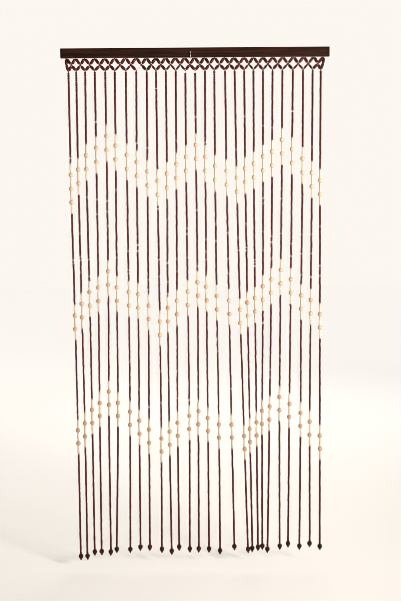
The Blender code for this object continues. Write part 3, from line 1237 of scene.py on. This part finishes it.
@dataclass
class Header(Turnery):
    """The row of diamonds under the slat: tubes on the cord, with a bead or a knot where they meet."""

    tube_length: float = 19 * MM
    tube_radius: float = 5.1 * MM
    tube_end: float = 3.1 * MM
    narrow: float = 0.72
    bore: float = 1.5 * MM
    sides: int = 14
    joint_radius: float = 4.1 * MM
    at_peak: float = 4.6 * MM
    over_crossing: float = 4.7 * MM
    under_crossing: float = 4.1 * MM
    at_fork: float = 3.6 * MM
    at_knee: float = 0.2 * MM
    joint_squash: float = 0.92
    joint_steps: int = 7
    wear: Wear = Wear(
        "tube_wood",
        Lacquer(
            "tube_lacquer", (0.018, 0.0014, 0.0006), (0.085, 0.0060, 0.0026), (0.13, 0.014, 0.007),
            rim=8.6 * MM, roughness=0.38, coat=0.05, spread=0.8,
        ),
        tilt=0.03, unevenness=0.04,
    )
    joint_wear: Wear = Wear(
        "dark_bead",
        Lacquer(
            "red_lacquer", (0.07, 0.0015, 0.0025), (0.20, 0.005, 0.007), (0.3, 0.05, 0.04),
            rim=2.8 * MM, roughness=0.32, coat=0.15,
        ),
        tilt=0.3, unevenness=0.06,
    )

    def form(self) -> bpy.types.Object:
        """Shapes one tube with eased ends and an open bore.

        Returns:
            The form, for the stringer to repeat.
        """
        end, wide = self.tube_end, self.tube_radius
        ease = (
            (self.bore, 0.0),
            (end, 0.0),
            (end + 0.4 * (wide - end), 1.1 * MM),
            (wide - 0.35 * MM, 3 * MM),
            (wide, 5.4 * MM),
        )
        lower = [(radius, height - self.tube_length / 2) for radius, height in ease]
        return turned("tube", mirrored(lower), self.sides, bored=True)

    def joint_form(self) -> bpy.types.Object:
        """Shapes the bead where tubes cross.

        Returns:
            The form, for the stringer to repeat.
        """
        rise = math.degrees(math.acos(self.bore / self.joint_radius))
        ball = arc(0.0, self.joint_radius, -rise, rise, self.joint_steps)
        return turned("crossing_bead", ball, self.sides, bored=True)

    def ties(self) -> list[Tie]:
        """Lists every stretch of cord in the header, with what it carries.

        Returns:
            The stretches, from the left and then at the two ends.
        """
        ties = []
        plan = self.plan
        for index in range(LAST):
            crossing = plan.crossing(index)
            right, left = Arm(CHART[index].arms[1]), Arm(CHART[index + 1].arms[0])
            ties += [
                Tie(plan.peak(index), crossing, Arm.WIDE, self.at_peak, self.over_crossing),
                Tie(plan.peak(index + 1), crossing, Arm.WIDE, self.at_peak, self.over_crossing),
                Tie(crossing, plan.fork(index), right, self.under_crossing, self.at_fork),
                Tie(crossing, plan.fork(index + 1), left, self.under_crossing, self.at_fork),
            ]
        for index in (0, LAST):
            knee = plan.knee(index)
            ties += [
                Tie(plan.peak(index), knee, Arm.WIDE, self.at_peak, self.at_knee),
                Tie(knee, plan.fork(index), Arm.WIDE, self.at_knee, self.at_fork),
            ]
        return ties

    def build(self) -> None:
        """Builds the tubes and the crossing beads."""
        places = []
        for tie in self.ties():
            if tie.arm is Arm.BARE:
                continue
            wide = self.narrow if tie.arm is Arm.NARROW else 1.0
            along = (tie.end - tie.start).normalized()
            start, end = tie.start + along * tie.clear_above, tie.end - along * tie.clear_below
            girth = Vector((wide, wide, (end - start).length / self.tube_length))
            places.append(Place(start.lerp(end, 0.5), -along, girth))
        self.stringer.string("header_tubes", places, self.form(), self.wear)
        upright, girth = Vector((0, 0, 1)), Vector((1, 1, self.joint_squash))
        places = [Place(self.plan.crossing(index), upright, girth) for index in range(LAST)]
        self.stringer.string("crossing_beads", places, self.joint_form(), self.joint_wear)


@dataclass
class CordWork:
    """The cord: through every tube and string, and knotted under the slat and over each string."""

    plan: Plan
    header: Header
    sweeper: Sweeper
    radius: float = 0.65 * MM
    peak_knot: tuple[float, float] = (0.62 * MM, 0.8 * MM)
    fork_knot: tuple[float, float] = (0.85 * MM, 0.95 * MM)
    below_slat: float = 2.8 * MM
    into_end_bead: float = 2 * MM
    knot_steps: int = 36
    knot_turn: float = 0.7
    spacing: float = 20 * MM
    cord_sides: int = 6
    knot_sides: int = 7
    # Each cord's second colour is painted shade in the grooves of its twist.
    cord: Cord = Cord("rose_cord", (0.60, 0.26, 0.20), (0.28, 0.07, 0.05))
    knot_cord: Cord = Cord("red_cord", (0.26, 0.022, 0.018), (0.07, 0.004, 0.003))

    def knot(self, centre: Vector, size: float, radius: float, turn: float) -> Stroke:
        """Ties one overhand knot.

        Args:
            centre: Its middle.
            size: A third of its reach.
            radius: The cord's radius in it.
            turn: How far it is turned about the string, in radians.

        Returns:
            The closed stroke.
        """
        points = []
        for step in range(self.knot_steps):
            t = math.tau * step / self.knot_steps
            x = math.sin(t) + 2 * math.sin(2 * t)
            z = math.cos(t) - 2 * math.cos(2 * t)
            point = Vector((x, -math.sin(3 * t), z)) * size
            points.append((centre + Matrix.Rotation(turn, 3, "Z") @ point, radius))
        return Stroke(points, closed=True)

    def build(self) -> None:
        """Builds the strings' cord and the knots."""
        strokes = []
        for tie in self.header.ties():
            points = [tie.start.lerp(tie.end, share) for share in (0.0, 0.5, 1.0)]
            strokes.append(Stroke([(point, self.radius) for point in points]))
        for index in range(len(CHART)):
            first, last = -self.plan.fork(index).z, self.plan.last_drop(index) + self.into_end_bead
            steps = round((last - first) / self.spacing)
            drops = [first + (last - first) * step / steps for step in range(steps + 1)]
            strokes.append(Stroke([(self.plan.middle(index, drop), self.radius) for drop in drops]))
        piece = self.sweeper.sweep("string_cord", strokes, self.cord, self.cord_sides)
        hand_over(piece, "thread", "bead_strings")
        dice = random.Random(SEED)
        below = Vector((0, 0, -self.below_slat))
        knots = []
        for index in range(len(CHART)):
            peak, fork = self.plan.peak(index) + below, self.plan.fork(index)
            for centre, size in ((peak, self.peak_knot), (fork, self.fork_knot)):
                knots.append(self.knot(centre, *size, dice.uniform(-self.knot_turn, self.knot_turn)))
        piece = self.sweeper.sweep("cord_knots", knots, self.knot_cord, self.knot_sides)
        hand_over(piece, "thread", "bead_strings")


@dataclass
class SteelHook:
    """The steel hook that passes under the slat and turns up in front of it, with a ball at its end."""

    plan: Plan
    sweeper: Sweeper
    slat: tuple[Vector, Vector]
    x: float = -14.8 * MM
    radius: float = 1.4 * MM
    clearance: float = 0.3 * MM
    bend: float = 2.2 * MM
    bend_steps: int = 8
    rise: float = 17 * MM
    ball_radius: float = 3.2 * MM
    ball_steps: int = 12
    tip: float = 0.05 * MM
    sides: int = 16
    finish: DrawnSteel = DrawnSteel("drawn_steel", (0.66, 0.63, 0.58), (0.42, 0.38, 0.33))

    def path(self) -> list[tuple[Vector, float]]:
        """Lists the points along the hook, from its straight end to its ball.

        Returns:
            The points, each with the radius there.
        """
        low = self.plan.underside - self.clearance - self.radius
        out = self.slat[0].y - self.clearance - self.radius
        path = [(Vector((self.x, 0.0, low)), self.radius)]
        for step in range(self.bend_steps + 1):
            turn = math.pi / 2 * step / self.bend_steps
            y = out + self.bend * (1 - math.sin(turn))
            path.append((Vector((self.x, y, low + self.bend * (1 - math.cos(turn)))), self.radius))
        ball = low + self.rise
        neck = math.asin(self.radius / self.ball_radius)
        for step in range(self.ball_steps + 1):
            turn = neck + (math.pi - neck) * step / self.ball_steps
            radius = max(self.ball_radius * math.sin(turn), self.tip)
            y = out - (self.ball_radius - self.radius) * min(3 * step / self.ball_steps, 1.0)
            path.append((Vector((self.x, y, ball - self.ball_radius * math.cos(turn))), radius))
        return path

    def build(self) -> None:
        """Builds the hook."""
        piece = self.sweeper.sweep("wall_hook", [Stroke(self.path())], self.finish, self.sides)
        hand_over(piece, "hook_steel", "rail_hook")


@dataclass(frozen=True)
class Lamp:
    """One square soft light: where it stands, the point it faces, its side, watts, colour and spread."""

    name: str
    place: Triple
    aim: Triple
    side: float
    power: float
    colour: Colour
    spread: float = 180.0

    def hang(self) -> None:
        """Adds the light, which the camera doesn't see."""
        data = bpy.data.lights.new(self.name, "AREA")
        data.size, data.energy, data.color = self.side, self.power, self.colour
        data.spread = math.radians(self.spread)
        lamp = bpy.data.objects.new(self.name, data)
        lamp.location = self.place
        lamp.rotation_euler = (Vector(self.aim) - Vector(self.place)).to_track_quat("-Z", "Y").to_euler()
        lamp.visible_camera = False
        bpy.context.scene.collection.objects.link(lamp)


@dataclass
class Studio:
    """The pale floor, the soft lights and the camera."""

    floor_drop: float = 1.80
    floor_size: float = 14.0
    floor_sides: int = 64
    lens: float = 52.19
    sensor: float = 36.0
    film_blur: float = 0.75
    eye: Vector = field(default_factory=lambda: Vector((0.0141, -3.009, -0.5681)))
    aim: Vector = field(default_factory=lambda: Vector((0.0128, -0.009, -0.8397)))
    roll: float = math.radians(-0.418)
    room: Colour = (0.28, 0.265, 0.245)
    backdrop: Colour = (0.97, 0.93, 0.87)
    sky: Colour = (0.55, 0.53, 0.50)
    opening: tuple[float, float] = (0.66, 0.95)
    zenith: tuple[float, float] = (0.25, 0.8)
    glow: Colour = (0.545, 0.538, 0.522)
    lamps: tuple[Lamp, ...] = (
        Lamp("key", (1.9, -2.0, -0.55), (-0.05, 0.0, -0.55), 0.4, 31.0, (1.0, 0.94, 0.88), 84.0),
        Lamp("fill", (-1.0, -2.8, -0.6), (0.0, 0.0, -0.6), 1.6, 3.0, (1.0, 0.95, 0.9)),
        Lamp("back", (0.9, 2.6, 0.9), (0.0, 0.0, -0.8), 1.6, 30.0, (1.0, 0.98, 0.96)),
    )

    def floor(self) -> None:
        """Lays the floor."""
        mesh = bmesh.new()
        bmesh.ops.create_circle(mesh, cap_ends=True, radius=self.floor_size, segments=self.floor_sides)
        bmesh.ops.translate(mesh, vec=(0, 0, -self.floor_drop), verts=mesh.verts)
        data = bpy.data.meshes.new("floor")
        mesh.to_mesh(data)
        mesh.free()
        finish = Plaster("floor_plaster", (0.82, 0.79, 0.75), (0.79, 0.76, 0.72), self.glow)
        data.materials.append(finish.material())
        floor = bpy.data.objects.new("floor", data)
        bpy.context.scene.collection.objects.link(floor)

    def camera(self) -> None:
        """Sets the camera to the photograph's view."""
        data = bpy.data.cameras.new("camera")
        data.lens, data.sensor_width = self.lens, self.sensor
        forward = (self.aim - self.eye).normalized()
        level = forward.cross(Vector((0, 0, 1))).normalized()
        upright = level.cross(forward)
        right = math.cos(self.roll) * level + math.sin(self.roll) * upright
        up = math.cos(self.roll) * upright - math.sin(self.roll) * level
        turn = Matrix((right, up, -forward)).transposed().to_4x4()
        camera = bpy.data.objects.new("camera", data)
        camera.matrix_world = Matrix.Translation(self.eye) @ turn
        bpy.context.scene.collection.objects.link(camera)
        bpy.context.scene.camera = camera

    def surroundings(self) -> None:
        """Sets the pale surroundings: the backdrop behind the curtain, the room before it and the sky."""
        world = bpy.data.worlds.new("studio")
        world.use_nodes = True
        graph = Graph(world.node_tree)
        way = graph.node("ShaderNodeTexCoord", output="Generated")
        around = graph.mix(graph.axis(way, "Y").ramp(*self.opening), self.room, self.backdrop)
        around = graph.mix(graph.axis(way, "Z").ramp(*self.zenith), around, self.sky)
        graph.feed(world.node_tree.nodes["Background"], {"Color": around})
        bpy.context.scene.world = world

    def build(self) -> None:
        """Sets up the studio."""
        self.floor()
        for lamp in self.lamps:
            lamp.hang()
        self.surroundings()
        bpy.context.scene.view_settings.view_transform = "Standard"
        bpy.context.scene.cycles.filter_width = self.film_blur
        self.camera()
        LOG.info("studio: floor, %d lamps and the camera", len(self.lamps))


def main() -> None:
    """Builds the curtain piece by piece."""
    logging.basicConfig(level=logging.INFO, format="%(name)s: %(message)s")
    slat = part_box("rail")
    plan = Plan(underside=slat[0].z, left_end=slat[0].x)
    stringer, sweeper = Stringer(), Sweeper()
    Studio().build()
    Slat().build()
    header = Header(plan, stringer)
    header.build()
    CordWork(plan, header, sweeper).build()
    SmallBeads(plan, stringer).build()
    RoundBeads(plan, stringer).build()
    EndBeads(plan, stringer).build()
    SteelHook(plan, sweeper, slat).build()


if __name__ == "__main__":
    main()
